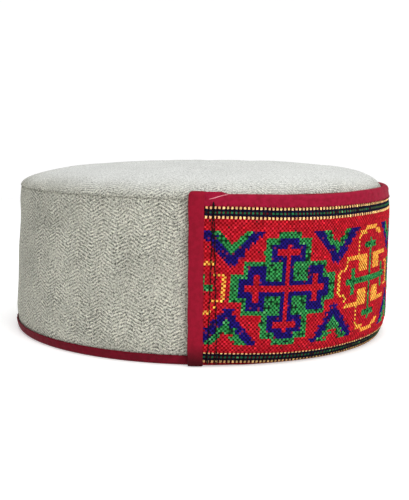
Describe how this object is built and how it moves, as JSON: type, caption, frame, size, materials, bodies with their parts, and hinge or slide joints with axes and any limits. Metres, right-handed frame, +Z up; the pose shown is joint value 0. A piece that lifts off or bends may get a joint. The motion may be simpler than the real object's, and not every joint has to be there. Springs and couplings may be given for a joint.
{
  "type": "himachali cap",
  "caption": "Round flat-topped wool cap with a woven patterned band across its front half and tape-bound edges.",
  "frame": {"origin": "centre of the overall box, on the plane of the rim", "axes": "+Z up through the crown, -Y towards the front of the cap, +X towards the wearer's left side"},
  "size_m": [0.1826, 0.1935, 0.0855],
  "materials": {
    "side_wall": "grey herringbone wool, napped",
    "crown_top": "grey herringbone wool, napped",
    "front_band": "woven wool pattern in red, navy, green and yellow",
    "band_top_binding": "smooth maroon cotton tape",
    "band_end_binding_right": "smooth maroon cotton tape",
    "band_end_binding_left": "smooth maroon cotton tape",
    "rim_binding": "dark maroon cotton tape"
  },
  "bodies": {
    "root": {"side_wall": "side_wall", "crown_top": "crown_top", "front_band": "front_band", "band_top_binding": "band_top_binding", "band_end_binding_right": "band_end_binding_right", "band_end_binding_left": "band_end_binding_left", "rim_binding": "rim_binding"}
  },
  "joints": []
}
